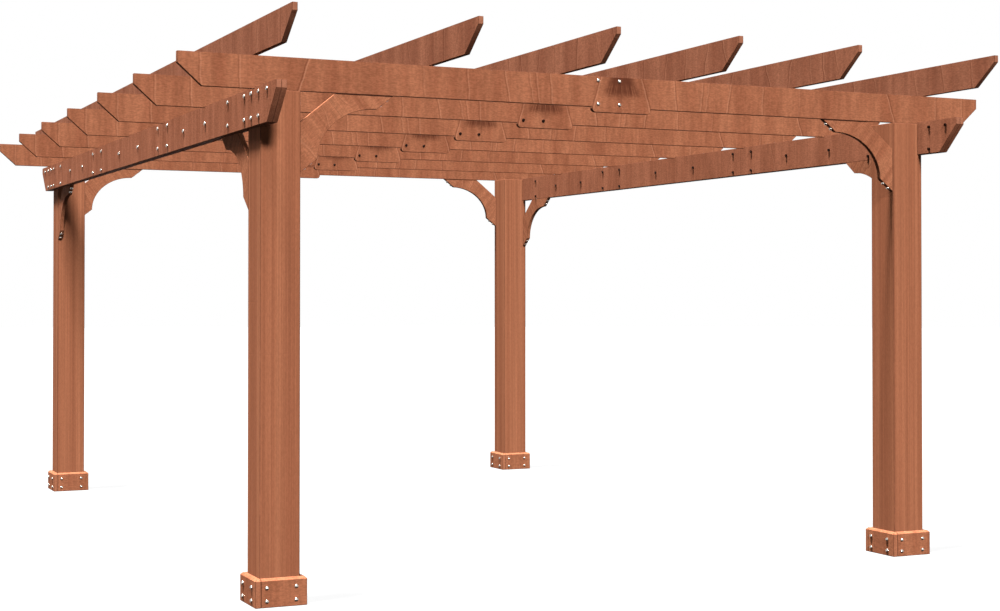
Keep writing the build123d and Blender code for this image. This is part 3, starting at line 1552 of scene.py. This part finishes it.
@dataclass(frozen=True)
class Lamp:
    """A far and wide soft light.

    Attributes:
        name: Name of the light.
        heading: Direction in which its light goes.
        strength: Light that falls on a face turned to it; 1 shows a white face as white.
        width: Angle that the light fills, in degrees.
    """

    name: str
    heading: tuple[float, float, float]
    strength: float
    width: float

    def build(self) -> None:
        """Add the light."""
        turn = Vector(self.heading).to_track_quat("-Z", "Y").to_euler()
        deselect_all()
        bpy.ops.object.light_add(type="SUN", rotation=turn)
        lamp = bpy.context.object
        lamp.name = self.name
        lamp.data.energy = self.strength * math.pi
        lamp.data.angle = math.radians(self.width)


@dataclass
class Studio:
    """White studio: floor, lights, surroundings and camera.

    Attributes:
        lamps: The lights.
        sky: Light from above, all round.
        ground: Light from below, all round.
        dusk: Heights between which the light from below turns into that from above.
        gloss_sky: Brightness of the surroundings above, as seen in metal.
        gloss_dusk: Heights between which the surroundings grow bright, as seen in metal.
        gloss_back: How much further down the surroundings are bright behind the pergola, as seen in metal.
        floor_radius: Radius of the floor.
        focal_pixels: Focal length in pixels of the picture.
        picture_width: Width of the picture in pixels.
        sensor_width: Width of the camera's sensor in millimetres.
        camera_place: Where the camera stands.
        camera_yaw: Turn of the camera to the right, in radians.
        camera_pitch: Tilt of the camera upwards, in radians.
        camera_shift: Shift of the picture upwards, as a share of its width.
    """

    lamps: tuple[Lamp, ...] = (
        Lamp("key_light", (0.15, 1.0, -0.55), 0.98, 11.0),
        Lamp("top_light", (0.2, 0.02, -0.98), 3.1, 7.0),
        Lamp("back_light", (-0.7, -0.8, -0.25), 0.6, 40.0),
    )
    sky: float = 0.08
    ground: float = 0.03
    dusk: tuple[float, float] = (0.0, 0.4)
    gloss_sky: float = 0.8
    gloss_dusk: tuple[float, float] = (-0.45, -0.3)
    gloss_back: float = 0.15
    floor_radius: float = 60.0
    focal_pixels: float = 1684.63
    picture_width: float = 1000.0
    sensor_width: float = 36.0
    camera_place: tuple[float, float, float] = (-3.93658, -9.54473, 1.35629)
    camera_yaw: float = 0.43571
    camera_pitch: float = 0.01416
    camera_shift: float = -0.035

    def build(self) -> None:
        """Set up the studio."""
        bpy.context.scene.view_settings.view_transform = "Standard"
        self.lay_floor()
        self.surround()
        for lamp in self.lamps:
            lamp.build()
        self.place_camera()

    def lay_floor(self) -> None:
        """Lay a pale floor that takes faint shadows and throws no light back."""
        deselect_all()
        bpy.ops.mesh.primitive_circle_add(vertices=96, radius=self.floor_radius, fill_type="NGON")
        floor = bpy.context.object
        floor.name = "floor"
        floor.data.materials.append(FLOOR_FINISH.material())
        floor.visible_diffuse = False
        floor.visible_glossy = False

    def surround(self) -> None:
        """Make the surroundings: white to the eye, light above and dark below to the boards."""
        world = bpy.data.worlds.new("studio")
        bpy.context.scene.world = world
        world.use_nodes = True
        graph = Graph(world.node_tree)
        parts = graph.split(graph.add("TexCoord").outputs["Generated"])
        path = graph.add("LightPath").outputs
        matt = graph.ranged(parts["Z"], *self.dusk, self.ground, self.sky)
        behind = graph.math_of("MAXIMUM", parts["Y"], 0.0)
        raised = graph.math_of("MULTIPLY_ADD", behind, self.gloss_back, parts["Z"])
        gloss = graph.ranged(raised, *self.gloss_dusk, self.ground, self.gloss_sky)
        shown = graph.either(path["Is Glossy Ray"], matt, gloss)
        strength = graph.either(path["Is Camera Ray"], shown, 1.0)
        light = graph.add("Background", Color=WHITE, Strength=strength)
        graph.add("OutputWorld", Surface=light.outputs[0])

    def place_camera(self) -> None:
        """Stand the camera where the photograph was taken from."""
        deselect_all()
        turn = (math.pi / 2 + self.camera_pitch, 0.0, -self.camera_yaw)
        bpy.ops.object.camera_add(location=self.camera_place, rotation=turn)
        camera = bpy.context.object
        camera.name = "camera"
        camera.data.sensor_width = self.sensor_width
        camera.data.sensor_fit = "HORIZONTAL"
        camera.data.lens = self.focal_pixels / self.picture_width * self.sensor_width
        camera.data.shift_y = self.camera_shift
        camera.data.clip_end = 4 * self.floor_radius
        bpy.context.scene.camera = camera


def main() -> None:
    """Dress the pergola and set up the studio."""
    logging.basicConfig(level=logging.INFO, format="%(name)s: %(message)s")
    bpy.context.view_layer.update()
    bolts = BoltKit()
    bolts.model()
    frame_parts = (Posts(), Skirts(bolts), KneeBraces(bolts), Beams(bolts), Rafters(bolts), Purlins())
    for assembly in (*frame_parts, Studio()):
        assembly.build()


if __name__ == "__main__":
    main()
